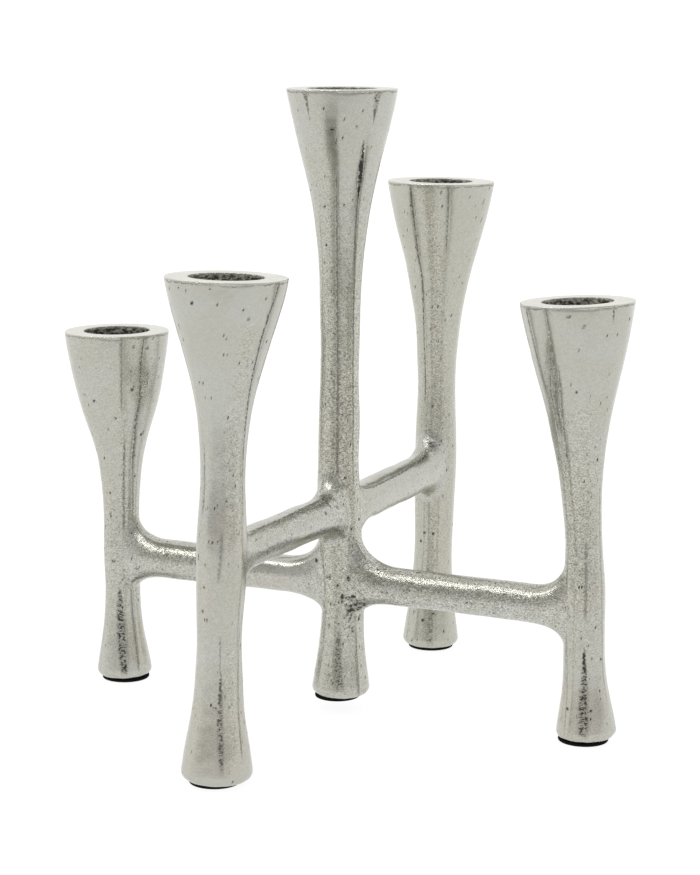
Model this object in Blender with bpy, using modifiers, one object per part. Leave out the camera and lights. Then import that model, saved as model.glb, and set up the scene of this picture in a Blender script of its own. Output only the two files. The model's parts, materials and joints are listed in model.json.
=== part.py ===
"""Tabletop candelabra: five cast posts of different heights on a cross of four round arms.

Every post is a turned shape: a funnel-shaped candle cup, a slim waist, a slight swell where the
arms join, an ankle and a flared foot with a stick-on pad. The upper beam (front arm and back arm)
and the lower beam (left arm and right arm) cross at the centre post at two levels. Each arm ends in
a flared collar that follows the post's wall, and in a spigot that sits in a blind socket there.

Frame: +Z up, origin on the table under the middle of the outline. The upper beam runs along Y and
the lower beam along X, each arm within a degree, as the casting was made. Lengths are in metres.
"""
import bpy
import bmesh
from math import cos, pi, radians, sin, tan
from mathutils import Matrix, Vector
from mathutils.geometry import interpolate_bezier

MM = 0.001

# ---------------------------------------------------------------- driving dimensions
FIT = 0.3 * MM                    # gap between pieces that seat on each other

HUB_X = 1.2 * MM                  # the centre post's axis, from the origin
HUB_Y = -0.4 * MM
UPPER_LEVEL = 69.9 * MM           # height of the beams' axes where they meet the centre post
LOWER_LEVEL = 45.4 * MM

CANDLE_HOLE_R = 11.5 * MM         # taper-candle socket: radius at the mouth
HOLE_FLOOR_R = 10.5 * MM
HOLE_DEPTH = 20.0 * MM
RIM_BREAK = 0.4 * MM              # broken edges of the flat rim

FOOT_CORNER = 2.5 * MM            # round between the foot's side and its flat bottom
PAD_THICKNESS = 1.0 * MM
GRIND_STOCK = 0.8 * MM            # foot metal ground away to leave the flat bottom

SPIGOT_R = 3.0 * MM
SPIGOT_LENGTH = 4.0 * MM          # how far a spigot reaches in past the post's wall
LIP = 0.5 * MM                    # thickness of a collar at its edge
COLLAR_WRAP = radians(62)         # half the angle that a collar wraps round its post

ROUND_STEPS = 28                  # facets round a post or a pad
ARM_STEPS = 20                    # facets round an arm

# Each post: height of its rim above the table, rim, waist, swell at the arms, ankle and foot
# (radius, and height where it isn't given by something else), how far the foot's pad stops above
# the table, and the lean of its axis from upright, towards +X and +Y, in degrees.
# cup_full and cup_slim say how far the cup's outline keeps its slope at the rim and at the waist,
# pad_r is the radius of its pad, and pad_shift how far off centre the pad is stuck.
POSTS = {
    "centre_post": dict(
        height=211.4 * MM, rim_r=18.3 * MM, waist_z=122.0 * MM, waist_r=6.5 * MM,
        swell_r=7.4 * MM, ankle_z=33.0 * MM, ankle_r=7.6 * MM, foot_r=9.8 * MM,
        clear=3.9 * MM, lean=(0.6, -0.9), rim_slope=0.19, cup_full=0.39, cup_slim=0.62,
        pad_r=7.8 * MM, pad_shift=(-1.0 * MM, -0.5 * MM)),
    "front_post": dict(
        height=157.2 * MM, rim_r=18.7 * MM, waist_z=96.0 * MM, waist_r=6.9 * MM,
        swell_r=7.5 * MM, ankle_z=43.0 * MM, ankle_r=6.9 * MM, foot_r=11.1 * MM,
        clear=0.0, lean=(1.4, 0.8), rim_slope=0.16, cup_full=0.29, cup_slim=0.50,
        pad_r=8.2 * MM, pad_shift=(-0.5 * MM, -0.25 * MM)),
    "left_post": dict(
        height=126.4 * MM, rim_r=18.2 * MM, waist_z=59.0 * MM, waist_r=6.3 * MM,
        swell_r=6.4 * MM, ankle_z=33.0 * MM, ankle_r=6.2 * MM, foot_r=9.6 * MM,
        clear=0.0, lean=(-0.1, -0.3), rim_slope=0.11, cup_full=0.55, cup_slim=0.47,
        pad_r=8.4 * MM, pad_shift=(0.4 * MM, 0.2 * MM)),
    "back_post": dict(
        height=176.4 * MM, rim_r=19.5 * MM, waist_z=97.0 * MM, waist_r=7.0 * MM,
        swell_r=7.5 * MM, ankle_z=42.0 * MM, ankle_r=7.0 * MM, foot_r=10.4 * MM,
        clear=0.0, lean=(1.1, -0.4), rim_slope=0.15, cup_full=0.33, cup_slim=0.55,
        pad_r=8.4 * MM, pad_shift=(0.0, 0.0)),
    "right_post": dict(
        height=145.0 * MM, rim_r=18.5 * MM, waist_z=68.0 * MM, waist_r=6.1 * MM,
        swell_r=6.6 * MM, ankle_z=31.0 * MM, ankle_r=6.7 * MM, foot_r=9.8 * MM,
        clear=0.0, lean=(-2.1, -0.3), rim_slope=0.16, cup_full=0.33, cup_slim=0.45,
        pad_r=8.3 * MM, pad_shift=(-0.7 * MM, -0.3 * MM)),
}
FOOT_SLOPE = 0.13                 # how much a foot still widens per unit of height at its base
FOOT_FULL = 0.35                  # like cup_full and cup_slim, for the foot's flare
FOOT_SLIM = 0.45

# Each arm: the outer post it carries, its heading from the centre post in degrees from +X, its
# reach to that post's axis, its level at that post and at the centre, its radius, and the height of
# the fillets above and below it at either end.
ARMS = {
    "front_arm": dict(
        post="front_post", heading=-90.3, reach=86.1 * MM, level=70.8 * MM, hub_level=UPPER_LEVEL,
        r=6.3 * MM, rise=7.0 * MM, drop=6.5 * MM, hub_rise=6.0 * MM, hub_drop=5.5 * MM),
    "left_arm": dict(
        post="left_post", heading=179.2, reach=87.1 * MM, level=45.7 * MM, hub_level=LOWER_LEVEL,
        r=6.4 * MM, rise=7.5 * MM, drop=6.5 * MM, hub_rise=8.0 * MM, hub_drop=6.0 * MM),
    "back_arm": dict(
        post="back_post", heading=90.7, reach=86.2 * MM, level=70.0 * MM, hub_level=UPPER_LEVEL,
        r=6.6 * MM, rise=7.0 * MM, drop=6.5 * MM, hub_rise=5.5 * MM, hub_drop=6.0 * MM),
    "right_arm": dict(
        post="right_post", heading=0.0, reach=87.0 * MM, level=44.4 * MM, hub_level=LOWER_LEVEL,
        r=6.3 * MM, rise=7.5 * MM, drop=6.5 * MM, hub_rise=8.5 * MM, hub_drop=5.5 * MM),
}
COLLAR_RUN = 9.5 * MM             # length of an arm's flare, from the post's wall
SIDE_RUN = 3.0 * MM               # how gently the collar's sides run onto the post


# ---------------------------------------------------------------- scene, collections, materials
for leftover in list(bpy.data.objects):
    bpy.data.objects.remove(leftover)

model = bpy.data.collections.new("tabletop_candelabra")
cutters = bpy.data.collections.new("cutters")
bpy.context.scene.collection.children.link(model)
bpy.context.scene.collection.children.link(cutters)

root = bpy.data.objects.new("candelabra_origin", None)
model.objects.link(root)


def finish_material(name, colour, roughness, metallic):
    """A Principled material in one plain finish."""
    material = bpy.data.materials.new(name)
    material.use_nodes = True
    shader = material.node_tree.nodes["Principled BSDF"]
    shader.inputs["Base Color"].default_value = (*colour, 1.0)
    shader.inputs["Roughness"].default_value = roughness
    shader.inputs["Metallic"].default_value = metallic
    return material


def cast_metal(name):
    return finish_material(name + "_metal", (0.69, 0.68, 0.64), 0.34, 1.0)


def black_foam(name):
    return finish_material(name + "_foam", (0.018, 0.018, 0.020), 0.9, 0.0)


def add_piece(name, mesh, material):
    """A named piece of the model, in its collection and under the origin's empty."""
    piece = bpy.data.objects.new(name, mesh)
    mesh.materials.append(material)
    model.objects.link(piece)
    piece.parent = root
    return piece


def cut(piece, cutter, label):
    """Cut a piece with a cutter object that is never rendered or built."""
    cutter.hide_render = True
    cutter.display_type = "WIRE"
    boolean = piece.modifiers.new(label, "BOOLEAN")
    boolean.operation = "DIFFERENCE"
    boolean.solver = "EXACT"
    boolean.object = cutter


# ---------------------------------------------------------------- posts
def curve(start, start_handle, end_handle, end, steps):
    """Points (radius, height) along a cubic curve, without its first point."""
    ends = [Vector((*p, 0)) for p in (start, start_handle, end_handle, end)]
    return [(p.x, p.y) for p in interpolate_bezier(*ends, steps + 1)][1:]


def swell_height(name):
    """The height where a post is thickest between waist and ankle: at its arms' level."""
    if name == "centre_post":
        return (UPPER_LEVEL + LOWER_LEVEL) / 2
    return next(arm["level"] for arm in ARMS.values() if arm["post"] == name)


def outline(name):
    """A post's outer side from rim to base as (radius, height above the table)."""
    post = POSTS[name]
    cup = post["height"] - post["waist_z"]
    rim = (post["rim_r"], post["height"])
    waist = (post["waist_r"], post["waist_z"])
    swell = (post["swell_r"], swell_height(name))
    ankle = (post["ankle_r"], post["ankle_z"])
    base = post["clear"] + PAD_THICKNESS + FIT - GRIND_STOCK
    foot = (post["foot_r"], base + FOOT_CORNER)
    flare = ankle[1] - foot[1]

    points = [rim]
    full, slim = post["cup_full"] * cup, post["cup_slim"] * cup
    points += curve(rim, (rim[0] - post["rim_slope"] * full, rim[1] - full),
                    (waist[0], waist[1] + slim), waist, 11)
    for upper, lower in ((waist, swell), (swell, ankle)):
        third = (upper[1] - lower[1]) / 3
        points += curve(upper, (upper[0], upper[1] - third), (lower[0], lower[1] + third), lower, 4)
    full, slim = FOOT_FULL * flare, FOOT_SLIM * flare
    points += curve(ankle, (ankle[0], ankle[1] - slim),
                    (foot[0] - FOOT_SLOPE * full, foot[1] + full), foot, 6)
    for step in range(1, 5):
        turn = step * pi / 8
        points.append((foot[0] - FOOT_CORNER * (1 - cos(turn)), foot[1] - FOOT_CORNER * sin(turn)))
    return points


OUTLINES = {name: outline(name) for name in POSTS}


def wall_radius(name, z):
    """A post's radius at a height above the table, read off its outline."""
    for (r0, z0), (r1, z1) in zip(OUTLINES[name], OUTLINES[name][1:]):
        if z1 <= z <= z0:
            return r0 + (r1 - r0) * (z0 - z) / (z0 - z1)
    return POSTS[name]["rim_r"]


def pivot_height(name):
    """A post leans about the point of its axis at this height."""
    return LOWER_LEVEL if name == "centre_post" else swell_height(name)


def post_frame(name):
    """The matrix that takes a post's upright shape, on the Z axis, to its place and lean."""
    x, y = HUB_X, HUB_Y
    for arm in ARMS.values():
        if arm["post"] == name:
            x += arm["reach"] * cos(radians(arm["heading"]))
            y += arm["reach"] * sin(radians(arm["heading"]))
    lean_x, lean_y = POSTS[name]["lean"]
    axis = Vector((tan(radians(lean_x)), tan(radians(lean_y)), 1))
    pivot = Vector((0, 0, pivot_height(name)))
    turn = Vector((0, 0, 1)).rotation_difference(axis).to_matrix().to_4x4()
    return Matrix.Translation(Vector((x, y, 0)) + pivot) @ turn @ Matrix.Translation(-pivot)


def turned_post(name):
    """The post with its candle hole as one profile, screwed round the Z axis."""
    height = POSTS[name]["height"]
    outer = OUTLINES[name]
    rim_r = POSTS[name]["rim_r"]
    hole = [(0, height - HOLE_DEPTH), (HOLE_FLOOR_R, height - HOLE_DEPTH),
            (CANDLE_HOLE_R, height - RIM_BREAK), (CANDLE_HOLE_R + RIM_BREAK, height),
            (rim_r - RIM_BREAK, height), (rim_r, height - RIM_BREAK)]
    profile = hole + outer[1:] + [(0, outer[-1][1])]

    mesh = bpy.data.meshes.new(name)
    mesh.from_pydata([(r, 0, z) for r, z in profile], [(i, i + 1) for i in range(len(profile) - 1)], [])
    piece = add_piece(name, mesh, cast_metal(name))
    piece.matrix_world = post_frame(name)
    screw = piece.modifiers.new("turn", "SCREW")
    screw.steps = ROUND_STEPS
    screw.render_steps = ROUND_STEPS
    screw.use_smooth_shade = True
    screw.use_merge_vertices = True
    screw.merge_threshold = 0.00001
    return piece


def grind_foot(piece, name):
    """Grind the foot flat and level, a fit's gap above its pad."""
    ground = POSTS[name]["clear"] + PAD_THICKNESS + FIT
    size = 4 * POSTS[name]["foot_r"]
    block = bmesh.new()
    bmesh.ops.create_cube(block, size=size)
    mesh = bpy.data.meshes.new(name + "_grind")
    block.to_mesh(mesh)
    block.free()
    cutter = bpy.data.objects.new(name + "_grind", mesh)
    cutters.objects.link(cutter)
    under = post_frame(name) @ Vector((0, 0, ground))
    cutter.location = (under.x, under.y, ground - size / 2)
    cut(piece, cutter, "ground_foot")


# ---------------------------------------------------------------- arms
class Joint:
    """Where an arm meets a post: the post's wall, and the arm's directions there."""

    def __init__(self, post, level, towards, rise, drop):
        self.post = post
        self.level = level
        self.frame = post_frame(post)
        self.azimuth = Vector((1, 0)).angle_signed(Vector((towards.x, -towards.y)))
        self.rise = rise
        self.drop = drop
        self.centre = self.frame @ Vector((0, 0, level))

    def wall(self, turn, lift, off):
        """A point off the wall, at an angle from the arm's side and a height from its axis."""
        r = wall_radius(self.post, self.level + lift) + off
        angle = self.azimuth + turn
        return self.frame @ Vector((r * cos(angle), r * sin(angle), self.level + lift))

    def edge(self, theta, arm_r):
        """The collar's edge on the wall, for an angle round the arm: its turn and its lift."""
        fillet = self.rise if cos(theta) > 0 else self.drop
        return COLLAR_WRAP * sin(theta), (arm_r + fillet) * cos(theta)


def arm_joints(arm):
    """The arm's joint at the centre post and its joint at the outer post."""
    out = Vector((cos(radians(arm["heading"])), sin(radians(arm["heading"])), 0))
    return (Joint("centre_post", arm["hub_level"], out, arm["hub_rise"], arm["hub_drop"]),
            Joint(arm["post"], arm["level"], -out, arm["rise"], arm["drop"]))


def collar_rings(joint, inward, arm_r):
    """Rings of points from the plain arm to the end of its spigot.

    The flare follows one cubic curve at each angle round the arm: it leaves along the arm and
    lands along the post's wall. Behind its lip the end face keeps a fit's gap to the wall.
    """
    up = Vector((0, 0, 1))
    side = up.cross(-inward).normalized()
    up = (-inward).cross(side)
    wall_r = wall_radius(joint.post, joint.level)
    thetas = [2 * pi * k / ARM_STEPS for k in range(ARM_STEPS)]
    start = joint.centre - inward * (wall_r + COLLAR_RUN)

    def strand(theta, t):
        turn, lift = joint.edge(theta, arm_r)
        leave = start + arm_r * (cos(theta) * up + sin(theta) * side)
        land = joint.wall(turn, lift, FIT + LIP)
        small = 0.02
        along_wall = (land - joint.wall(turn * (1 - small), lift * (1 - small), FIT + LIP)).normalized()
        fillet = joint.rise if cos(theta) > 0 else joint.drop
        settle = 0.6 * (fillet * cos(theta) ** 2 + SIDE_RUN * sin(theta) ** 2)
        a, b, c, d = leave, leave + inward * 0.6 * COLLAR_RUN, land - along_wall * settle, land
        return (1 - t) ** 3 * a + 3 * (1 - t) ** 2 * t * b + 3 * (1 - t) * t ** 2 * c + t ** 3 * d

    rings = [[strand(theta, step / 6) for theta in thetas] for step in range(7)]

    # The spigot follows the arm and not the leaning post, so its root is set off on the wall.
    slip = joint.centre - inward * (wall_r + FIT) - joint.wall(0, 0, FIT)

    def end_face(theta, share):
        turn, lift = joint.edge(theta, arm_r)
        root_turn = (SPIGOT_R * sin(theta) + slip.dot(side)) / wall_r
        root_lift = SPIGOT_R * cos(theta) + slip.dot(up)
        return joint.wall(turn + (root_turn - turn) * share, lift + (root_lift - lift) * share, FIT)

    rings += [[end_face(theta, share) for theta in thetas] for share in (0, 1 / 3, 2 / 3, 1)]
    tip = joint.centre - inward * (wall_r - SPIGOT_LENGTH)
    rings.append([tip + SPIGOT_R * (cos(theta) * up + sin(theta) * side) for theta in thetas])
    return rings


def lofted_arm(name):
    """The arm: rings from one spigot's tip to the other's, skinned and capped."""
    arm = ARMS[name]
    hub, outer = arm_joints(arm)
    along = (outer.centre - hub.centre).normalized()
    hub_end = collar_rings(hub, -along, arm["r"])
    outer_end = collar_rings(outer, along, arm["r"])
    # The two ends count their angles in opposite senses round the arm, so one is turned about.
    mirrored = [[ring[-k % ARM_STEPS] for k in range(ARM_STEPS)] for ring in outer_end]
    rings = list(reversed(hub_end)) + mirrored

    shape = bmesh.new()
    loops = [[shape.verts.new(point) for point in ring] for ring in rings]
    for near, far in zip(loops, loops[1:]):
        for k in range(ARM_STEPS):
            after = (k + 1) % ARM_STEPS
            shape.faces.new((near[k], near[after], far[after], far[k]))
    shape.faces.new(loops[0])
    shape.faces.new(loops[-1])
    bmesh.ops.recalc_face_normals(shape, faces=shape.faces)
    mesh = bpy.data.meshes.new(name)
    shape.to_mesh(mesh)
    shape.free()
    mesh.shade_smooth()
    mesh.set_sharp_from_angle(angle=radians(40))
    return add_piece(name, mesh, cast_metal(name))


def bore_sockets(piece, name):
    """Bore the post's wall for the spigot of every arm that meets it."""
    for arm_name, arm in ARMS.items():
        hub, outer = arm_joints(arm)
        along = (outer.centre - hub.centre).normalized()
        for joint, outward in ((hub, along), (outer, -along)):
            if joint.post != name:
                continue
            wall_r = wall_radius(name, joint.level)
            depth = SPIGOT_LENGTH + FIT
            proud = 3 * MM
            drill = bmesh.new()
            bmesh.ops.create_cone(drill, cap_ends=True, segments=ARM_STEPS, radius1=SPIGOT_R + FIT,
                                  radius2=SPIGOT_R + FIT, depth=depth + proud)
            mesh = bpy.data.meshes.new(arm_name + "_socket")
            drill.to_mesh(mesh)
            drill.free()
            cutter = bpy.data.objects.new(f"{name}_{arm_name}_socket", mesh)
            cutters.objects.link(cutter)
            middle = joint.centre + outward * (wall_r - depth + (depth + proud) / 2)
            turn = Vector((0, 0, 1)).rotation_difference(outward).to_matrix().to_4x4()
            cutter.matrix_world = Matrix.Translation(middle) @ turn
            cut(piece, cutter, arm_name + "_socket")


# ---------------------------------------------------------------- pads
def foot_pad(name):
    """A die-cut pad stuck under a foot."""
    post = POSTS[name]
    disc = bmesh.new()
    bmesh.ops.create_cone(disc, cap_ends=True, segments=ROUND_STEPS, radius1=post["pad_r"],
                          radius2=post["pad_r"], depth=PAD_THICKNESS)
    pad_name = name.replace("post", "pad")
    mesh = bpy.data.meshes.new(pad_name)
    disc.to_mesh(mesh)
    disc.free()
    mesh.shade_smooth()
    mesh.set_sharp_from_angle(angle=radians(40))
    piece = add_piece(pad_name, mesh, black_foam(pad_name))
    middle = post_frame(name) @ Vector((0, 0, post["clear"] + PAD_THICKNESS / 2))
    shift_x, shift_y = post["pad_shift"]
    piece.location = (middle.x + shift_x, middle.y + shift_y, post["clear"] + PAD_THICKNESS / 2)
    return piece


# ---------------------------------------------------------------- assembly
for post_name in POSTS:
    body = turned_post(post_name)
    grind_foot(body, post_name)
    bore_sockets(body, post_name)
    foot_pad(post_name)

for arm_name in ARMS:
    lofted_arm(arm_name)
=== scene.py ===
import json
from math import radians

import bpy
import numpy as np
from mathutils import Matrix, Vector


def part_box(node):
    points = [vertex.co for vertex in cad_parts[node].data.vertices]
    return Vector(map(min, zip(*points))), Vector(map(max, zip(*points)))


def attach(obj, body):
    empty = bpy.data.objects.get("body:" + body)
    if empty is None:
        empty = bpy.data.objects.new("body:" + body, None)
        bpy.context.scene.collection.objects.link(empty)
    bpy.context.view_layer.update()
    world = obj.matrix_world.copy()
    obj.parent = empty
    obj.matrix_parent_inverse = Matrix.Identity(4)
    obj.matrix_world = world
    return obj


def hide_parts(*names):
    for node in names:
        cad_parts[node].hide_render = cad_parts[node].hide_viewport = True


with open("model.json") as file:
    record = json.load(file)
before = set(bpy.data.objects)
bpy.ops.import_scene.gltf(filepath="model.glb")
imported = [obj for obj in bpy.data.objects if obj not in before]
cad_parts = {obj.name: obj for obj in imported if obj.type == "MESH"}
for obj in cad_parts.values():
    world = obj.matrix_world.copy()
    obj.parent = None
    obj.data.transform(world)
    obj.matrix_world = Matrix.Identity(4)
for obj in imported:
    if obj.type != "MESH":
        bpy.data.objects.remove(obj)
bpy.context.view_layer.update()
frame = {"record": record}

MM = 0.001

# ------------------------------------------------------------------------------------------------
# Stage: a white tabletop inside a white light tent. The tent is open towards the camera, so that
# side is dimmer in the metal's reflections, though the backdrop itself is white from every side. A
# soft light hangs over the table. None of it is part of the object.
# ------------------------------------------------------------------------------------------------
scene = bpy.context.scene
scene.view_settings.view_transform = "Standard"
scene.view_settings.look = "None"

camera_data = bpy.data.cameras.new("camera")
camera_data.lens = 90.72
camera_data.sensor_width = 36
camera = bpy.data.objects.new("camera", camera_data)
camera.location = (0.3097, -0.6671, 0.2250)
camera.rotation_euler = (radians(90 - 10.07), 0, radians(24.59))
scene.collection.objects.link(camera)
scene.camera = camera

def value_node(tree, operation, *values):
    """A maths node on sockets or plain numbers."""
    node = tree.nodes.new("ShaderNodeMath")
    node.operation = operation
    for socket, value in zip(node.inputs, values):
        if isinstance(value, (int, float)):
            socket.default_value = value
        else:
            tree.links.new(value, socket)
    return node.outputs["Value"]


def step(tree, value, low, high, to_low=0.0, to_high=1.0):
    """A value carried from one range to another with a soft step."""
    node = tree.nodes.new("ShaderNodeMapRange")
    node.interpolation_type = "SMOOTHSTEP"
    node.inputs["From Min"].default_value = low
    node.inputs["From Max"].default_value = high
    node.inputs["To Min"].default_value = to_low
    node.inputs["To Max"].default_value = to_high
    tree.links.new(value, node.inputs["Value"])
    return node.outputs["Result"]


def along(tree, coordinates, heading):
    """How far coordinates lie along a heading."""
    node = tree.nodes.new("ShaderNodeVectorMath")
    node.operation = "DOT_PRODUCT"
    node.inputs[1].default_value = heading
    tree.links.new(coordinates, node.inputs[0])
    return node.outputs["Value"]


OPEN_SIDE = (0.42, -0.90, 0.0)          # the tent is open on this side
TENT_WHITE = 1.02                       # brightness of its closed sides
TABLE_WHITE = 0.92                      # and of the tabletop, halved in reflections near the opening
TABLE_HALF = 6.0
world = bpy.data.worlds.new("light_tent")
scene.world = world
world.use_nodes = True
tent = world.node_tree
heading = tent.nodes.new("ShaderNodeTexCoord").outputs["Generated"]
sideways = step(tent, along(tent, heading, OPEN_SIDE), -0.25, 0.30)
upwards = along(tent, heading, (0, 0, 1))
# the open side is dim low down, dimmer above, and brighter again straight overhead
opening = value_node(tent, "ADD", step(tent, upwards, 0.25, 0.65, 0.67, 0.52),
                     step(tent, upwards, 0.72, 0.95, 0.0, 0.28))
closed = value_node(tent, "SUBTRACT", TENT_WHITE, value_node(tent, "MULTIPLY", sideways, TENT_WHITE))
strength = value_node(tent, "ADD", value_node(tent, "MULTIPLY", sideways, opening), closed)
seen = tent.nodes.new("ShaderNodeLightPath").outputs["Is Camera Ray"]
strength = value_node(tent, "MAXIMUM", strength, value_node(tent, "MULTIPLY", seen, TENT_WHITE))
tent.links.new(strength, tent.nodes["Background"].inputs["Strength"])
tent.nodes["Background"].inputs["Color"].default_value = (1.0, 0.998, 0.985, 1.0)

table_mesh = bpy.data.meshes.new("tabletop")
corners = [(x * TABLE_HALF, y * TABLE_HALF, 0) for x, y in ((-1, -1), (1, -1), (1, 1), (-1, 1))]
table_mesh.from_pydata(corners, [], [(0, 1, 2, 3)])
table = bpy.data.objects.new("tabletop", table_mesh)
scene.collection.objects.link(table)
table_white = bpy.data.materials.new("tabletop_white")
table_white.use_nodes = True
sheet = table_white.node_tree
table_shader = sheet.nodes["Principled BSDF"]
towards_opening = along(sheet, sheet.nodes.new("ShaderNodeTexCoord").outputs["Object"], OPEN_SIDE)
glow = step(sheet, towards_opening, 0.32, 0.64, TABLE_WHITE, TABLE_WHITE / 2)
seen = sheet.nodes.new("ShaderNodeLightPath").outputs["Is Camera Ray"]
glow = value_node(sheet, "MAXIMUM", glow, value_node(sheet, "MULTIPLY", seen, TABLE_WHITE))
sheet.links.new(glow, table_shader.inputs["Emission Strength"])
table_shader.inputs["Emission Color"].default_value = (1, 1, 1, 1)
table_shader.inputs["Base Color"].default_value = (0.09, 0.09, 0.09, 1)
table_shader.inputs["Roughness"].default_value = 0.8
table_mesh.materials.append(table_white)

light_data = bpy.data.lights.new("overhead_strip", "AREA")
light_data.shape = "RECTANGLE"
light_data.size = 0.9
light_data.size_y = 0.05
light_data.energy = 1.7
light = bpy.data.objects.new("overhead_strip", light_data)
light.location = (-0.34, -0.34, 0.88)
light.rotation_euler = (radians(20), radians(-20), 0)
scene.collection.objects.link(light)


# ------------------------------------------------------------------------------------------------
# Posts: sand castings in aluminium with a warm nickel finish. Each is ground by hand in long flats
# from rim to foot and softly polished; where two flats meet, a thin line of dark cast skin stays.
# The foot is ground level, and the candle hole is left as cast, its inside painted dark as shade.
# ------------------------------------------------------------------------------------------------
mounts = {m["name"]: m for m in frame["record"]["mounts"]}

HOLE_R = 11.5 * MM
HOLE_FLOOR_R = 10.5 * MM
HOLE_DEPTH = 20 * MM
RIM_ROUND = 0.3 * MM
FOOT_CORNER = 2.6 * MM
FLATS = 9                               # ground flats round a post
FLATS_FADE = (7.5 * MM, 12 * MM)        # radii over which the flats run out into the round cup
CRISPNESS = 160                         # how crisp the edges between the flats are
GROOVE = 0.12 * MM                      # depth of the groove along a dark line
HOLE_RAGGED = 0.35 * MM                 # how rough the cast wall of the candle hole is
RIM_DIP = 0.12 * MM                     # how uneven the rim's face is
RIM_BAND = 2.0 * MM                     # rows of points lie closer in this band under the rim
ROW_HEIGHT = 0.85 * MM
AROUND_POST = 224

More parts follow.
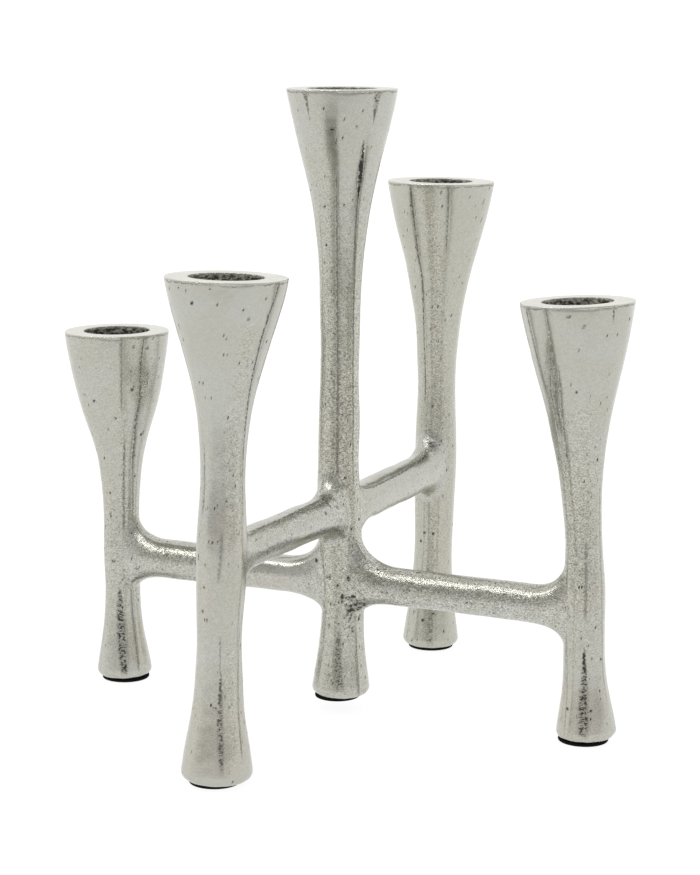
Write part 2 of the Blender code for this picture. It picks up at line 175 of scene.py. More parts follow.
# waist, ankle: (height above the table, radius); swell: (height, radius) where the arms join;
# cup: how far its outline holds the rim's slope, how far it holds the waist's, and that slope;
# bow: (height, shift to the right) of the axis, which isn't quite straight, seen from the camera;
# cast: (height, how much rough cast skin is left); lines: dark seams between ground flats, each with
# its darkness and (height, degrees round from the side facing the camera, half width);
# strips: the same, for rough strips that the belt missed; tarnish: how much browner the metal is.
# Heights and widths are in millimetres.
POSTS = {
    "centre": dict(
        waist=(122.0, 6.5), swell=(57.6, 7.4), ankle=(33.0, 7.3), foot=9.8, cup=(0.39, 0.62, 0.19),
        bow=[(0, 0), (20, 0.3), (36, 0.6), (50, 0.1), (70, -0.7), (88, -1.0), (116, -0.6), (150, -0.3),
             (185, 0)],
        cast=[(4, 0.4), (30, 0.65), (42, 1), (100, 1.1), (130, 0.95), (160, 0.5), (185, 0.25), (211, 0.15)],
        lines=[
            (0.6, [(211, -41, 0.9), (207, -40, 0.5), (203, -40, 0.15)]),
            (0.65, [(211, 40, 1.4), (207, 39, 0.9), (201, 39, 0.15)]),
            (0.5, [(184, -8, 0.2), (170, -9, 0.3), (155, -10, 0.3), (132, -7, 0.3), (109, -4, 0.4),
                   (80, -3, 0.5)]),
            (1.5, [(194, 29, 0.1), (188, 30, 0.62), (182, 31, 0.75), (176, 32, 0.2)]),
            (0.55, [(178, 31, 0.3), (166, 35, 0.3), (150, 40, 0.25), (136, 41, 0.2), (108, 45, 0.2),
                    (80, 46, 0.2)]),
            (0.3, [(169, -51, 0.25), (142, -62, 0.25), (91, -62, 0.25)]),
            (0.6, [(28, -10, 0.5), (19, -10, 1.3), (9, -2, 1.2)]),
            (0.4, [(28, 41, 0.3), (6, 38, 0.5)]),
        ],
        strips=[(0.12, [(207, -25, 2.0), (185, -26, 3.0), (160, -36, 3.5), (130, -40, 3.0)]),
                (0.5, [(120, 15, 2.0), (90, 20, 2.6), (76, 20, 3.0)])]),
    "front": dict(
        waist=(96.0, 6.9), swell=(70.8, 7.8), ankle=(43.0, 6.95), foot=11.1, cup=(0.29, 0.50, 0.16),
        bow=[(0, -0.1), (30, -0.1), (70, 0), (125, 0.05), (157, 0)],
        cast=[(3, 0.1), (20, 0.2), (40, 0.2), (75, 0.25), (100, 0.25), (120, 0.12), (157, 0.06)],
        lines=[
            (0.7, [(157, 58, 0.5), (148, 51, 0.35), (140, 48, 0.35), (126, 49, 0.3), (119, 52, 0.3),
                   (109, 58, 0.3), (95, 62, 0.25), (84, 62, 0.2)]),
            (0.4, [(106, -53, 0.25), (86, -54, 0.25)]),
            (0.35, [(80, 0, 0.3), (77, 0, 0.5), (66, -5, 0.4)]),
            (0.7, [(37, 4, 0.2), (28, 5, 0.6), (16, 5, 1.0), (7, 7, 0.6)]),
            (0.3, [(48, 2, 0.2), (34, 4, 0.25)]),
            (0.45, [(50, 62, 0.25), (30, 53, 0.25), (10, 48, 0.3)]),
        ],
        strips=[(0.35, [(145, 30, 3.5), (105, 25, 3.0), (75, 30, 2.5)]),
                (0.3, [(45, 30, 2.0), (8, 30, 2.5)])]),
    "left": dict(
        waist=(59.0, 6.3), swell=(45.7, 6.4), ankle=(33.0, 6.2), foot=9.6, cup=(0.55, 0.47, 0.11),
        bow=[(0, 0), (30, -0.1), (65, 0.1), (85, 0.25), (126, -0.1)],
        cast=[(3, 0.25), (20, 0.3), (45, 0.6), (60, 0.5), (80, 0.3), (126, 0.3)],
        lines=[
            (0.4, [(126, 5, 0.3), (100, 4, 0.25)]),
            (0.6, [(126, 31, 0.3), (116, 28, 0.3), (104, 31, 0.5), (94, 27, 0.45), (86, 31, 0.4),
                   (76, 33, 0.25)]),
            (0.38, [(117, 32, 0.7), (112, 36, 1.9), (108, 34, 0.8)]),
            (0.5, [(88, 9, 0.3), (56, 8, 0.35)]),
            (0.35, [(75, 36, 0.25), (61, 39, 0.25)]),
            (0.85, [(34, -9, 0.4), (26, -8, 1.2), (12, -4, 1.4), (4, 0, 0.9)]),
            (0.5, [(33, 29, 0.25), (20, 33, 0.25), (5, 32, 0.3)]),
        ],
        strips=[(0.9, [(117, 30, 0.8), (110, 36, 3.2), (103, 31, 1.0)]),
                (0.4, [(100, 4, 1.5), (85, 9, 1.5), (56, 8, 1.5)])]),
    "back": dict(
        waist=(97.0, 7.0), swell=(70.0, 7.8), ankle=(42.0, 7.0), foot=10.4, cup=(0.33, 0.55, 0.15),
        tarnish=0.35,
        bow=[(0, -0.2), (60, 0.2), (80, 0.2), (110, -0.1), (150, 0), (176, 0)],
        cast=[(3, 0.2), (60, 0.35), (80, 0.4), (110, 0.3), (176, 0.15)],
        lines=[
            (0.65, [(176, -34, 0.5), (162, -34, 0.35), (149, -34, 0.35), (142, -32, 0.3), (122, -37, 0.2),
                    (96, -36, 0.2)]),
            (0.5, [(176, 8, 0.4), (168, 9, 0.3), (152, 10, 0.2)]),
            (0.35, [(20, -66, 0.2), (3, -60, 0.25)]),
            (0.5, [(26, -4, 0.9), (3, -1, 1.1)]),
        ],
        strips=[(0.5, [(176, -15, 4.0), (167, -12, 3.5), (141, -4, 3.0), (87, 5, 2.6), (72, 3, 2.0)]),
                (0.4, [(55, 0, 2.0), (5, 0, 2.4)])]),
    "right": dict(
        waist=(68.0, 6.1), swell=(44.4, 6.7), ankle=(31.0, 6.7), foot=9.8, cup=(0.33, 0.45, 0.16),
        bow=[(0, 0.1), (30, 0.1), (52, 0.6), (66, 0.7), (82, 0.3), (100, 0), (145, 0.1)],
        cast=[(3, 0.25), (20, 0.25), (40, 0.5), (60, 0.5), (95, 0.4), (115, 0.2), (145, 0.12)],
        lines=[
            (0.5, [(145, -32, 0.2), (138, -31, 0.35), (133, -31, 0.5), (125, -31, 0.65), (118, -34, 0.6),
                   (112, -38, 0.6), (103, -38, 0.4)]),
            (0.5, [(133, -34, 0.2), (125, -37, 0.25), (119, -44, 0.25), (112, -47, 0.2), (104, -46, 0.2)]),
            (0.5, [(126, -27, 0.15), (119, -26, 0.3), (112, -28, 0.35), (105, -31, 0.25), (94, -31, 0.15)]),
            (0.5, [(144, -61, 0.3), (138, -60, 0.5), (127, -58, 0.4), (117, -55, 0.4)]),
            (0.3, [(104, -26, 0.2), (85, -29, 0.2), (64, -24, 0.2)]),
            (0.6, [(145, 38, 0.3), (140, 39, 0.25)]),
            (0.4, [(68, 7, 0.4), (43, 3, 0.5)]),
            (0.85, [(32, 1, 0.3), (19, -2, 1.1), (8, -4, 1.5), (4, -4, 1.2)]),
            (0.3, [(33, -58, 0.2), (4, -45, 0.25)]),
            (0.3, [(86, 60, 0.25), (48, 57, 0.3), (14, 62, 0.3)]),
        ],
        strips=[(0.5, [(115, -42, 2.5), (100, -34, 3.0), (80, -32, 3.2), (45, -30, 3.0)]),
                (0.3, [(112, 10, 4.0), (45, 5, 2.0)])]),
}


def cubic(start, leave, arrive, end, t):
    """Points of a cubic curve: start and end blended with their handles by Bernstein weights. A row
    for each t, whether the four are single points or whole arrays of them."""
    start, leave, arrive, end = map(np.asarray, (start, leave, arrive, end))
    t = t.reshape(-1, *[1] * end.ndim)
    back = 1 - t
    return back ** 3 * start + 3 * back ** 2 * t * leave + 3 * back * t ** 2 * arrive + t ** 3 * end


def smooth(low, high, x):
    """0 below low, 1 above high, with an S-shaped step between them."""
    t = np.clip((x - low) / (high - low), 0, 1)
    return t * t * (3 - 2 * t)


def nearest(lines):
    """Of several lines (darkness, offset, half width, ends), the one nearest each point. The mask
    falls to nothing away from it, so that no seam shows where the nearest line changes."""
    darks = np.array([dark for dark, *_ in lines])
    offset, half, ends = (np.stack([line[i] for line in lines]) for i in (1, 2, 3))
    away = np.abs(offset) - half + np.where(ends > 0.02, 0, 50)
    pick = np.argmin(away, axis=0)[None]
    offset, half, ends, away = (np.take_along_axis(field, pick, axis=0)[0]
                                for field in (offset, half, ends, away))
    return offset, half, darks[pick[0]] * ends * (1 - smooth(0.5, 1.5, away))


class Post:
    """A post's surface: its outline turned round its leaning axis, with ground flats and lines."""

    def __init__(self, side, shape):
        self.side = side
        self.shape = shape
        self.node = side + "_post"
        low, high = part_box(self.node)
        seat = mounts[side + "_candle_seat"]
        self.axis = np.array(seat["axis"])
        self.seat = np.array(seat["pos_m"])
        self.height = self.seat[2] + HOLE_DEPTH * self.axis[2]
        self.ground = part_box(side + "_pad")[1].z
        self.rim_r = (high.x - low.x + high.y - low.y) / 4
        to_camera = np.array(camera.location) - self.seat
        self.front = np.arctan2(to_camera[1], to_camera[0])
        self.outline = self.make_outline()
        rng = np.random.default_rng(sum(map(ord, side)))
        even = np.linspace(0, 2 * np.pi, FLATS, endpoint=False)
        self.flats = even + rng.uniform(-0.16, 0.16, FLATS)
        self.depths = rng.uniform(0.012, 0.024, FLATS)

    def make_outline(self):
        """Radius against height: cup, waist, swell, ankle and foot joined by cubic curves."""
        shape = self.shape
        t = np.linspace(0, 1, 60)
        waist, swell, ankle = [np.array((r, z)) * MM for z, r in
                               (shape["waist"], shape["swell"], shape["ankle"])]
        rim = np.array((self.rim_r, self.height))
        foot = np.array((shape["foot"] * MM, self.ground + FOOT_CORNER))
        full, slim, slope = shape["cup"]
        cup, flare = rim[1] - waist[1], ankle[1] - foot[1]
        curves = [cubic(rim, rim - full * cup * np.array((slope, 1)), waist + (0, slim * cup), waist, t)]
        for upper, lower in ((waist, swell), (swell, ankle)):
            third = np.array((0, (upper[1] - lower[1]) / 3))
            curves.append(cubic(upper, upper - third, lower + third, lower, t)[1:])
        straight = 0.45         # share of the flare's height over which the ankle stays upright
        full, slope = 0.35, 0.13    # as for the cup, at the foot
        curves.append(cubic(ankle, ankle - (0, straight * flare),
                            foot + full * flare * np.array((-slope, 1)), foot, t)[1:])
        turn = np.linspace(0, np.pi / 2, 12)[1:]
        curves.append(np.stack([foot[0] - FOOT_CORNER * (1 - np.cos(turn)),
                                foot[1] - FOOT_CORNER * np.sin(turn)], axis=1))
        return np.concatenate(curves)[::-1]

    def wall(self, z, angle):
        """The wall's radius: the outline, cut by long flats, with a shallow groove at each line.

        A flat at angle a cuts the radius to (1 - depth) r / cos(angle - a); the smallest of them
        and the outline is taken with a soft minimum, so that edges between flats stay round. The
        flats wander a little round the post with height, and run out where the cup widens.
        """
        r = np.interp(z, self.outline[:, 1], self.outline[:, 0])
        wander = 0.10 * np.sin(z * 31 + self.front) * np.ones_like(angle)
        inverse = np.ones_like(r * angle)
        for flat, depth in zip(self.flats, self.depths):
            across = np.cos(angle - flat - wander)
            shallow = depth * (1 - smooth(*FLATS_FADE, r))
            inverse = inverse + np.where(across > 0.2, across / (1 - shallow), 0) ** CRISPNESS
        r = r * inverse ** (-1 / CRISPNESS) * 1.004
        offset, width, mask = self.seams(z, angle, r)
        return r - GROOVE * mask * (1 - smooth(0.4, 1.6, np.abs(offset) / np.maximum(width, 0.4)))

    def path(self, points, z, angle, r):
        """For one line: offset from it and its half width in millimetres, and 1 along its length."""
        height, degrees, width = np.array(sorted(points)).T
        turned = (angle - self.front + np.pi) % (2 * np.pi) - np.pi
        offset = (turned - np.interp(z, height * MM, np.radians(degrees))) * r / MM
        half = np.interp(z, height * MM, width)
        fade = 2 * MM
        ends = smooth(height[0] * MM - fade, height[0] * MM + fade, z) * (
            1 - smooth(height[-1] * MM - fade, height[-1] * MM + fade, z))
        return np.broadcast_arrays(offset, half, ends)

    def seams(self, z, angle, r):
        """The nearest dark seam at each point: offset from it, its half width, and its darkness. The
        last is a thin dark line round the cup just under the rim, a little wavy."""
        lines = [(dark, *self.path(points, z, angle, r)) for dark, points in self.shape["lines"]]
        # a thin dark line drawn just under the rim's edge
        wavy = self.height - (0.75 + 0.12 * np.sin(5 * angle) + 0.1 * np.sin(11 * angle + 1)) * MM
        under_rim = np.broadcast_arrays((z - wavy) / MM, 0.16 + 0.1 * np.sin(3 * angle + 2),
                                        np.ones_like(r))
        return nearest(lines + [(0.42, *under_rim)])

    def roughness(self, z, angle, r):
        """How much rough cast skin is left: its amount by height, and more along the strips."""
        height, amount = np.array(self.shape["cast"]).T
        total = np.interp(z, height * MM, amount) + 0 * angle
        for more, points in self.shape["strips"]:
            offset, half, ends = self.path(points, z, angle, r)
            total = total + more * ends * np.exp(-(offset / half) ** 2)
        return np.clip(total, 0, 1.2)

    def place(self, z, angle, r):
        """Points at a height, angle and radius, on the leaning and slightly bowed axis."""
        z, angle, r = np.broadcast_arrays(z, angle, r)
        upright = np.array((0, 0, 1.0))
        across = np.cross(upright, self.axis)
        ex = np.array((1.0, 0, 0)) - self.axis * self.axis[0]
        ex /= np.linalg.norm(ex)
        ey = np.cross(self.axis, ex)
        height, shift = np.array(self.shape["bow"]).T
        to_right = np.array((-np.sin(self.front), np.cos(self.front), 0))
        bow = np.interp(z, height * MM, shift * MM)
        along = (z - (self.height - HOLE_DEPTH))[..., None] * self.axis
        return (self.seat + along + bow[..., None] * to_right
                + (r * np.cos(angle))[..., None] * ex + (r * np.sin(angle))[..., None] * ey)

    def surface(self, z, angle):
        """Points of the wall itself."""
        return self.place(z, angle, self.wall(z, angle))


# Beads of weld: centre, radius and height. Pockets of painted shade, in the corners where arms meet
# posts and under the hub: centre, radius and darkness. Millimetres.
BEADS = [((3.6, -9.0, 73.0), 2.6, 0.7), ((2.6, 77.5, 80.0), 2.2, 0.45)]
POCKETS = [((7.9, -4.8, 37.2), 2.9, 1.15), ((9.5, -3.6, 38.6), 2.4, 1.0),
           ((-79.6, -4.6, 37.6), 1.6, 0.7), ((2.6, 76.5, 78.5), 1.5, 0.8),
           ((2.3, -15.5, 76.5), 2.4, 0.7), ((-74.5, -2.5, 53.0), 2.0, 0.3)]
WAVES = 20                              # plane waves in an undulation


def undulation(points, size, seed):
    """A smooth field over space, about -1 to 1: the sum of plane waves of about the given length,
    each with its own heading and phase."""
    rng = np.random.default_rng(seed)
    field = np.zeros(points.shape[:-1])
    for _ in range(WAVES):
        heading = rng.normal(size=3)
        heading /= np.linalg.norm(heading)
        wave = 2 * np.pi / (size * rng.uniform(0.7, 1.6))
        field += np.sin(points @ heading * wave + rng.uniform(0, 2 * np.pi))
    return field / np.sqrt(WAVES)


def outward_normals(points):
    """Unit normals of a grid whose rows run along the piece and whose columns close round it."""
    along = np.gradient(points, axis=0)
    around = np.roll(points, -1, axis=1) - np.roll(points, 1, axis=1)
    normal = np.cross(around, along)
    return normal / np.maximum(np.linalg.norm(normal, axis=-1, keepdims=True), 1e-12)


def dress(points, normals, cast, edge=1.0):
    """Move a cast surface by its hand-dressed waviness, by the lumps of its rough skin, and by the
    weld beads."""
    wave = 0.10 * MM * undulation(points, 14 * MM, 1) + 0.018 * MM * undulation(points, 4 * MM, 2)
    lumps = 0.012 * MM * cast * undulation(points, 2.2 * MM, 3)
    beads = 0
    for centre, radius, height in BEADS:
        away = np.linalg.norm(points - np.array(centre) * MM, axis=-1) / (radius * MM)
        beads = beads + height * MM * np.exp(-away ** 2) * (1 + 0.35 * undulation(points, 2 * MM, 4))
    return points + normals * ((wave + lumps) * edge + beads)[..., None]


def painted_shade(points):
    """How much painted shade a point gets: full near each pocket, in the corners where the arms meet the
    posts and under the hub, and fading over a ragged edge. Where the undulations take the raggedness
    below zero, a lone dark spot is left, however far the pocket is."""
    amount = np.zeros(points.shape[:-1])
    for centre, radius, dark in POCKETS:
        away = np.linalg.norm(points - np.array(centre) * MM, axis=-1) / (radius * MM)
        ragged = 1 + 0.45 * undulation(points, 2.4 * MM, 6) + 0.35 * undulation(points, 1.1 * MM, 7)
        amount = np.maximum(amount, dark * (1 - smooth(0.5, 1.4, away * ragged)))
    return amount


def skinned(name, rows, attributes, material):
    """A mesh from a closed grid: rows of points, skinned by quads, with both end rows' points
    joined to a pole. Attributes are one number a point, for the material."""
    count, around = rows.shape[:2]
    points = rows.reshape(-1, 3)
    poles = np.array([rows[0].mean(axis=0), rows[-1].mean(axis=0)])
    index = np.arange(count * around).reshape(count, around)
    after = np.roll(index, -1, axis=1)
    quads = np.stack([index[:-1], after[:-1], after[1:], index[1:]], axis=-1).reshape(-1, 4)
    first, last = count * around, count * around + 1
    fans = np.concatenate([np.stack([np.full(around, first), after[0], index[0]], axis=1),
                           np.stack([np.full(around, last), index[-1], after[-1]], axis=1)])
    mesh = bpy.data.meshes.new(name)
    mesh.from_pydata(np.concatenate([points, poles]).tolist(), [], quads.tolist() + fans.tolist())
    for label, values in attributes.items():
        layer = mesh.attributes.new(label, "FLOAT", "POINT")
        flat = values.reshape(-1)
        layer.data.foreach_set("value", np.concatenate([flat, [flat[0], flat[-1]]]).astype(np.float32))
    mesh.shade_smooth()
    mesh.set_sharp_from_angle(angle=radians(50))
    mesh.materials.append(material)
    piece = bpy.data.objects.new(name, mesh)
    scene.collection.objects.link(piece)
    return piece


def noise(tree, coordinates, scale, detail=2.0, roughness=0.5):
    """A noise texture's factor at so many features a metre."""
    node = tree.nodes.new("ShaderNodeTexNoise")
    node.inputs["Scale"].default_value = scale
    node.inputs["Detail"].default_value = detail
    node.inputs["Roughness"].default_value = roughness
    tree.links.new(coordinates, node.inputs["Vector"])
    return node.outputs["Fac"]


def mixed(tree, amount, first, second):
    """One colour blended into another."""
    node = tree.nodes.new("ShaderNodeMix")
    node.data_type = "RGBA"
    tree.links.new(amount, node.inputs["Factor"])
    for socket, value in ((node.inputs["A"], first), (node.inputs["B"], second)):
        if isinstance(value, tuple):
            socket.default_value = (*value, 1.0)
        else:
            tree.links.new(value, socket)
    return node.outputs["Result"]


def scaled(tree, colour, factor):
    """A colour made brighter or darker by a factor."""
    node = tree.nodes.new("ShaderNodeVectorMath")
    node.operation = "SCALE"
    tree.links.new(colour, node.inputs[0])
    tree.links.new(factor, node.inputs["Scale"])
    return node.outputs["Vector"]


def cast_nickel():
    """Ground and softly polished casting: warm grey metal, clouded, grainy where the cast skin is
    left, with dark broken seams and pits."""
    material = bpy.data.materials.new("cast_nickel")
    material.use_nodes = True
    tree = material.node_tree
    shader = tree.nodes["Principled BSDF"]
    place = tree.nodes.new("ShaderNodeTexCoord").outputs["Object"]
    squat = tree.nodes.new("ShaderNodeMapping")      # makes the grain wider than it is high
    squat.inputs["Scale"].default_value = (1, 1, 1.6)
    tree.links.new(place, squat.inputs["Vector"])
    ripples = squat.outputs["Vector"]

    def attribute(name):
        node = tree.nodes.new("ShaderNodeAttribute")
        node.attribute_name = name
        return node.outputs["Fac"]

    cast, painted_shade_amount, turned, tarnish = map(attribute, ("cast", "painted_shade", "turned", "tarnish"))
    offset, width, mask = attribute("seam_offset"), attribute("seam_width"), attribute("seam")
    grain = noise(tree, ripples, 1500, 3, 0.8)
    coarse = noise(tree, ripples, 620, 2, 0.6)
    clouds = noise(tree, place, 90, 3, 0.6)
    patches = noise(tree, place, 36, 1)

    def times(first, second):
        return value_node(tree, "MULTIPLY", first, second)

    def plus(first, second):
        return value_node(tree, "ADD", first, second)

    def darkest(first, second):
        return value_node(tree, "MAXIMUM", first, second)

    def about_middle(value, gain):
        return times(value_node(tree, "SUBTRACT", value, 0.5), gain)

    # seams wander and break up with the coarse grain, and wide ones are hatched; painted shade breaks
    # up too; pits and specks are scattered, and more of them show where cast skin is left
    wander = value_node(tree, "ABSOLUTE", plus(offset, about_middle(coarse, 1.6)))
    seam = times(step(tree, value_node(tree, "DIVIDE", wander, width), 0.5, 1.7, 1.0, 0.0), mask)
    seam = times(seam, step(tree, coarse, 0.38, 0.54, 0.45, 1.2))
    hatched = step(tree, noise(tree, ripples, 1250, 1), 0.42, 0.56, 0.3, 1.1)
    broken = step(tree, width, 0.45, 0.9)
    seam = times(seam, plus(times(broken, hatched), value_node(tree, "SUBTRACT", 1.0, broken)))
    # painted shade: the pockets in the corners and the candle hole's inside go near black
    pocket = times(painted_shade_amount, step(tree, coarse, 0.40, 0.60, 0.25, 1.1))
    pits = times(step(tree, noise(tree, place, 1300, 0), 0.79, 0.84, 0.0, 0.32),
                 step(tree, cast, 0.0, 0.6, 0.1, 1.0))
    specks = times(step(tree, noise(tree, place, 1500, 0), 0.64, 0.80, 0.0, 0.40),
                   step(tree, cast, 0.1, 0.6))
    dark = darkest(darkest(seam, pocket), darkest(pits, specks))
    dark = value_node(tree, "MINIMUM", dark, 1.0)

    # tone: grain and coarser mottling, both stronger in the cast skin, clouds, and a painted sheen that
    # makes the turned rim lighter; the grain's darkest points are lifted where the metal is smooth
    tone = plus(0.98, times(about_middle(grain, 1.0), plus(times(cast, 3.1), 0.16)))
    tone = plus(tone, times(about_middle(coarse, 1.0), plus(times(cast, 0.5), 0.08)))
    # the turned rim is painted lighter here: a painted sheen of the light on its face
    tone = plus(plus(tone, about_middle(clouds, 0.22)), times(turned, 0.32))
    least = value_node(tree, "SUBTRACT", 0.90, times(cast, 0.55))
    tone = value_node(tree, "MAXIMUM", tone, least)
    metal = mixed(tree, step(tree, clouds, 0.38, 0.62), (0.505, 0.500, 0.443), (0.490, 0.495, 0.456))
    metal = mixed(tree, step(tree, patches, 0.56, 0.70, 0.0, 0.8), metal, (0.512, 0.488, 0.430))
    metal = mixed(tree, tarnish, metal, (0.500, 0.486, 0.408))
    colour = mixed(tree, dark, scaled(tree, metal, tone), (0.060, 0.056, 0.046))
    tree.links.new(colour, shader.inputs["Base Color"])
    shader.inputs["Metallic"].default_value = 1.0

    rough = plus(step(tree, clouds, 0.3, 0.7, 0.19, 0.27), times(dark, 0.25))
    tree.links.new(rough, shader.inputs["Roughness"])

    heights = plus(times(grain, plus(cast, 0.15)), times(coarse, plus(times(cast, 0.3), 0.1)))
    bump = tree.nodes.new("ShaderNodeBump")
    bump.inputs["Strength"].default_value = 0.7
    bump.inputs["Distance"].default_value = 0.10 * MM
    tree.links.new(value_node(tree, "SUBTRACT", heights, times(dark, 0.4)), bump.inputs["Height"])
    tree.links.new(bump.outputs["Normal"], shader.inputs["Normal"])
    return material


nickel = cast_nickel()
posts = {side: Post(side, shape) for side, shape in POSTS.items()}


def post_piece(post):
    """The post as rows of points from the middle of its foot, up the wall, over the rim, down the
    candle hole to the middle of its floor."""
    angle = np.linspace(0, 2 * np.pi, AROUND_POST, endpoint=False)[None, :]
    top = post.height
    base = post.outline[0, 1]
    corner = base + FOOT_CORNER * (1 - np.cos(np.linspace(0, np.pi / 2, 7)[1:-1]))
    stem = np.arange(base + FOOT_CORNER, top - RIM_BAND - 0.2 * MM, ROW_HEIGHT)
    band = np.linspace(top - RIM_BAND, top - RIM_ROUND, 9)
    wall_z = np.concatenate([[base], corner, stem, band])[:, None]
    wall_r = post.wall(wall_z, angle)
    wall = post.place(wall_z, angle, wall_r)
    normals = outward_normals(wall)
    calm = smooth(0, 2 * MM, wall_z - base) * (1 - 0.6 * smooth(top - 2 * MM, top - 0.5 * MM, wall_z))
    marks = dict(zip(("seam_offset", "seam_width", "seam"), post.seams(wall_z, angle, wall_r)))
    marks["cast"] = post.roughness(wall_z, angle, wall_r)
    wall = dress(wall, normals, marks["cast"], calm)
    # painted shade in the corners where the arms meet the posts and under the hub
    marks["painted_shade"] = painted_shade(wall)
    marks["turned"] = np.zeros(wall.shape[:2])
    marks["tarnish"] = post.shape.get("tarnish", 0) + 0.55 * marks["cast"]

    def row(z, r):
        return post.place(np.array(z), angle[0], r)[None]

    under = [post.place(np.full_like(angle[0], base), angle[0], share * post.wall(base, angle[0]))[None]
             for share in (0.05, 0.4, 0.8, 0.97)]
    edge = post.wall(top - RIM_ROUND, angle[0])
    over = [row(top - RIM_ROUND * (1 - np.sin(turn)), edge - RIM_ROUND * (1 - np.cos(turn)))
            for turn in (0.5, 1.0, np.pi / 2)]
    face = []
    for share in np.linspace(0, 1, 10)[1:]:
        r = (1 - share) * (edge - RIM_ROUND) + share * (HOLE_R + RIM_ROUND)
        dip = RIM_DIP * np.sin(angle[0] * 3 + post.front) * np.sin(np.pi * share)
        face.append(row(top + dip, r))
    into = [row(top - RIM_ROUND * (1 - np.cos(turn)),
                np.full_like(edge, HOLE_R + RIM_ROUND * (1 - np.sin(turn))))
            for turn in (0.6, 1.1, np.pi / 2)]
    hole = []
    for depth in np.linspace(0.06, 1, 18):
        r = HOLE_R + (HOLE_FLOOR_R - HOLE_R) * depth
        place = row(top - HOLE_DEPTH * depth, np.full_like(edge, r))
        ragged = HOLE_RAGGED * undulation(place, 3 * MM, 8)[0] * smooth(0, 0.2, depth)
        hole.append(row(top - HOLE_DEPTH * depth, r - np.abs(ragged)))
    floor = [row(top - HOLE_DEPTH, np.full_like(edge, HOLE_FLOOR_R * share))
             for share in (0.9, 0.5, 0.1)]

    rows = np.concatenate(under + [wall] + over + face + into + hole + floor)
    rows[..., 2] = np.maximum(rows[..., 2], post.ground)
    # inside the candle hole, and half as much on its inner edge, the colour is painted dark: painted shade
    # in the recess
    inside = dict(seam_offset=9, seam_width=1, seam=0, cast=1.2, painted_shade=0.95, turned=0, tarnish=0.3)
    # turned=1 paints the rim's face and edges lighter, a painted sheen; the foot's underside gets it too
    outside = dict(inside, cast=0.15, painted_shade=0, turned=1, tarnish=0.1)
    zones = [(under, outside), (over, outside), (face, outside), (into, dict(inside, painted_shade=0.5)),
             (hole, inside), (floor, inside)]
    attributes = {}
    for label, values in marks.items():
        filled = [np.full((len(zone), AROUND_POST), float(value[label])) for zone, value in zones]
        attributes[label] = np.concatenate([filled[0], values] + filled[1:])
    piece = skinned(post.side + "_post_casting", rows, attributes, nickel)
    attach(piece, "root")
    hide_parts(post.node)


for post in posts.values():
    post_piece(post)


# ------------------------------------------------------------------------------------------------
# Arms: round cast bars, each welded between the centre post and an outer post. The weld is dressed
# into a fillet that runs out on the post's wall, so that no edge is seen there.
# ------------------------------------------------------------------------------------------------
AROUND_ARM = 120
FILLET_ROWS = 44
BAR_ROWS = 118
WRAP = radians(64)                      # half the angle that a fillet wraps round its post
SINK = 0.12 * MM                        # how far a fillet's edge sinks into the post's wall

# r: radius of the bar at the centre post and at the outer post; level: heights of its axis there;
# hub, outer: how far the fillet rises above the bar and drops below it, and how far it runs out
# along the bar; cast, lines and strips as on the posts, by share of the length and degrees from the
# top.
ARMS = {
    "front": dict(
        r=(6.35, 6.35), level=(69.9, 70.8), hub=(9.5, 6.0, 10), outer=(7.5, 7.0, 9),
        cast=[(0, 1.0), (0.15, 0.9), (0.3, 0.4), (0.85, 0.4), (1, 0.5)],
        lines=[(0.6, [(0.14, 12, 0.5), (0.26, 13, 0.4), (0.41, 19, 0.4), (0.59, 24, 0.4),
                      (0.75, 26, 0.4), (0.87, 25, 0.3)]),
               (0.5, [(0.53, 99, 0.4), (0.60, 97, 1.0), (0.72, 99, 1.3), (0.85, 105, 1.0),
                      (0.91, 107, 0.7)]),
               (0.6, [(0.07, 124, 0.8), (0.17, 124, 1.2), (0.30, 114, 1.2), (0.40, 110, 0.9),
                      (0.46, 108, 0.3)])],
        strips=[(0.6, [(0.1, 40, 1.5), (0.3, 38, 2.0), (0.8, 40, 2.0)]),
                (0.5, [(0.55, 99, 2.0), (0.9, 105, 2.0)])]),
    "left": dict(
        r=(6.4, 6.9), level=(45.2, 45.6), hub=(11.0, 6.5, 13), outer=(9.5, 5.6, 11.5),
        cast=[(0, 1.0), (0.1, 0.6), (0.2, 0.3), (0.6, 0.6), (1, 0.7)],
        lines=[(0.5, [(0.5, 145, 0.25), (0.65, 142, 0.35), (0.88, 146, 0.4), (0.96, 150, 0.4)]),
               (0.4, [(0.58, 32, 0.3), (0.79, 28, 0.3), (0.92, 20, 0.3)]),
               (0.5, [(0.14, 10, 0.3), (0.2, 16, 0.4), (0.27, 28, 0.4)])],
        strips=[(0.5, [(0.5, 60, 2.0), (1.0, 60, 2.0)])]),
    "back": dict(
        r=(6.75, 6.75), level=(69.3, 69.8), hub=(5.5, 10.0, 11), outer=(10.0, 7.0, 10),
        cast=[(0, 0.9), (0.15, 0.35), (0.8, 0.25), (1, 0.5)],
        lines=[(0.55, [(0.12, -39, 0.25), (0.29, -40, 0.3), (0.51, -37, 0.35), (0.70, -26, 0.35),
                       (0.86, -18, 0.4)])],
        strips=[(0.7, [(0.82, -15, 1.5), (0.92, -12, 3.0)])]),
    "right": dict(
        r=(6.35, 6.4), level=(45.0, 43.9), hub=(11.5, 6.0, 13), outer=(10.5, 7.0, 11),
        cast=[(0, 1.0), (0.85, 0.9), (1, 0.65)],
        lines=[(0.5, [(0.07, -149, 0.4), (0.19, -143, 0.4), (0.3, -140, 0.3)])],
        strips=[(0.4, [(0.1, -60, 2.5), (0.9, -60, 2.0)])]),
}


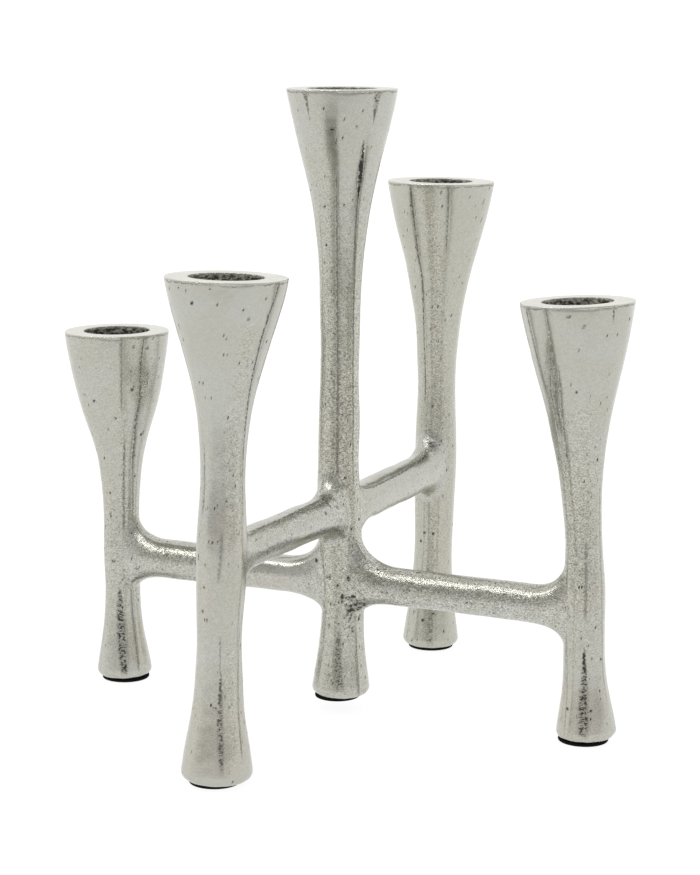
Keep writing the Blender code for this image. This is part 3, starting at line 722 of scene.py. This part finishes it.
def arm_end(post, level, towards, fillet, r):
    """Control points of the strands at one end: on the bar where the fillet starts, along the bar,
    back along the wall, and on the wall. towards points from the post's axis along the bar."""
    rise, drop, run = (value * MM for value in fillet)
    theta = np.linspace(0, 2 * np.pi, AROUND_ARM, endpoint=False)
    azimuth = np.arctan2(towards[1], towards[0])
    up = np.cos(theta)
    side = np.sin(theta)
    lift = (r + np.where(up > 0, rise, drop)) * up
    turn = WRAP * side

    def on_wall(share):
        return post.surface(level + lift * share, azimuth + turn * share)

    centre = post.place(np.array(level), np.array(0.0), np.array(0.0))
    land = on_wall(1.0)
    along_wall = land - on_wall(0.98)
    along_wall /= np.linalg.norm(along_wall, axis=-1, keepdims=True)
    inwards = centre - land
    inwards[:, 2] = 0
    land = land + SINK * inwards / np.linalg.norm(inwards, axis=-1, keepdims=True)
    wall_r = post.wall(level, np.array(azimuth))
    bar_side = np.cross((0, 0, 1), towards)
    bar_side /= np.linalg.norm(bar_side)
    bar_up = np.cross(towards, bar_side)
    start = centre + towards * (wall_r + run)
    leave = start + r * (up[:, None] * bar_up + side[:, None] * bar_side)
    settle = 0.6 * (np.where(up > 0, rise, drop) * up ** 2 + 3.5 * MM * side ** 2)
    return leave, leave - towards * 0.6 * run, land - along_wall * settle[:, None], land


def arm_piece(side, shape):
    """The arm as rows of points from the centre post's wall to the outer post's: a fillet of cubic
    strands, the plain bar, and the other fillet."""
    hub, outer = posts["centre"], posts[side]
    near_r, far_r = (r * MM for r in shape["r"])
    hub_level, outer_level = (level * MM for level in shape["level"])
    start = hub.place(np.array(hub_level), np.array(0.0), np.array(0.0))
    end = outer.place(np.array(outer_level), np.array(0.0), np.array(0.0))
    length = np.linalg.norm(end - start)
    heading = (end - start) / length
    near = arm_end(hub, hub_level, heading, shape["hub"], near_r)
    far = arm_end(outer, outer_level, -heading, shape["outer"], far_r)
    flip = -np.arange(AROUND_ARM) % AROUND_ARM
    far = [points[flip] for points in far]

    t = np.linspace(0, 1, FILLET_ROWS)
    bar = np.linspace(0, 1, BAR_ROWS + 2)[1:-1, None, None]
    rows = np.concatenate([cubic(*near, t)[::-1], near[0] + bar * (far[0] - near[0]), cubic(*far, t)])
    share = (rows - start) @ heading / length
    theta = np.linspace(0, 2 * np.pi, AROUND_ARM, endpoint=False)[None, :]
    turned = (theta + np.pi) % (2 * np.pi) - np.pi

    def path(points):
        """For one line: offset from it and its half width in millimetres, and 1 along its length."""
        where, degrees, width = np.array(points).T
        offset = (turned - np.interp(share, where, np.radians(degrees))) * near_r / MM
        first, last = where[[0, -1]]
        fade = 0.03
        ends = smooth(first - fade, first + fade, share) * (1 - smooth(last - fade, last + fade, share))
        return offset, np.interp(share, where, width), ends

    marks = dict(zip(("seam_offset", "seam_width", "seam"),
                     nearest([(dark, *path(points)) for dark, points in shape["lines"]])))
    marks["cast"] = np.interp(share, *np.array(shape["cast"]).T)
    for more, points in shape["strips"]:
        offset, half, ends = path(points)
        marks["cast"] = marks["cast"] + more * ends * np.exp(-(offset / half) ** 2)
    marks["cast"] = np.clip(marks["cast"], 0, 1.2)

    normals = outward_normals(rows)
    middle = rows.mean(axis=1, keepdims=True)
    if ((rows - middle) * normals).sum() < 0:
        rows, normals = rows[:, ::-1], -normals[:, ::-1]
        marks = {label: values[:, ::-1] for label, values in marks.items()}
    rows = dress(rows, normals, marks["cast"])
    # painted shade in the corners where the arms meet the posts and under the hub
    marks["painted_shade"] = painted_shade(rows)
    marks["tarnish"] = 0.1 * marks["cast"]
    piece = skinned(side + "_arm_casting", rows, marks, nickel)
    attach(piece, "root")
    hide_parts(side + "_arm")


for side, shape in ARMS.items():
    arm_piece(side, shape)


# ------------------------------------------------------------------------------------------------
# Pads: discs die-cut from black self-adhesive foam rubber, stuck by hand to the ground face of each
# foot. The outer four stand on the table, and the centre post's hangs clear of it.
# ------------------------------------------------------------------------------------------------
def black_foam():
    """Matte black foam rubber with a fine open grain."""
    material = bpy.data.materials.new("black_foam")
    material.use_nodes = True
    tree = material.node_tree
    shader = tree.nodes["Principled BSDF"]
    place = tree.nodes.new("ShaderNodeTexCoord").outputs["Object"]
    cells = noise(tree, place, 2600, 2)
    tree.links.new(mixed(tree, cells, (0.002, 0.002, 0.0025), (0.008, 0.008, 0.009)),
                   shader.inputs["Base Color"])
    shader.inputs["Roughness"].default_value = 0.9
    shader.inputs["Specular IOR Level"].default_value = 0.12
    bump = tree.nodes.new("ShaderNodeBump")
    bump.inputs["Strength"].default_value = 0.4
    bump.inputs["Distance"].default_value = 0.1 * MM
    tree.links.new(cells, bump.inputs["Height"])
    tree.links.new(bump.outputs["Normal"], shader.inputs["Normal"])
    return material


foam = black_foam()


PAD_BULGE = 0.35 * MM


def pad_piece(side):
    """The pad: a disc whose side bulges a little, as pressed foam does, with rounded edges."""
    low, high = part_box(side + "_pad")
    centre = (low + high) / 2
    radius = (high.x - low.x) / 2
    thickness = high.z - low.z
    angle = np.linspace(0, 2 * np.pi, 96, endpoint=False)
    turn = np.linspace(-np.pi / 2, np.pi / 2, 15)
    r = np.concatenate([[0.1, 0.6], 1 - PAD_BULGE / radius * (1 - np.cos(turn)), [0.6, 0.1]]) * radius
    z = np.concatenate([[-1, -1], np.sin(turn), [1, 1]]) * thickness / 2 + low.z + thickness / 2
    wobble = 1 + 0.004 * np.sin(3 * angle + low.x * 900)
    rows = np.stack([centre.x + r[:, None] * wobble * np.cos(angle),
                     centre.y + r[:, None] * wobble * np.sin(angle),
                     np.repeat(z[:, None], len(angle), axis=1)], axis=-1)
    piece = skinned(side + "_foot_pad", rows, {}, foam)
    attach(piece, "root")
    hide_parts(side + "_pad")


for side in POSTS:
    pad_piece(side)
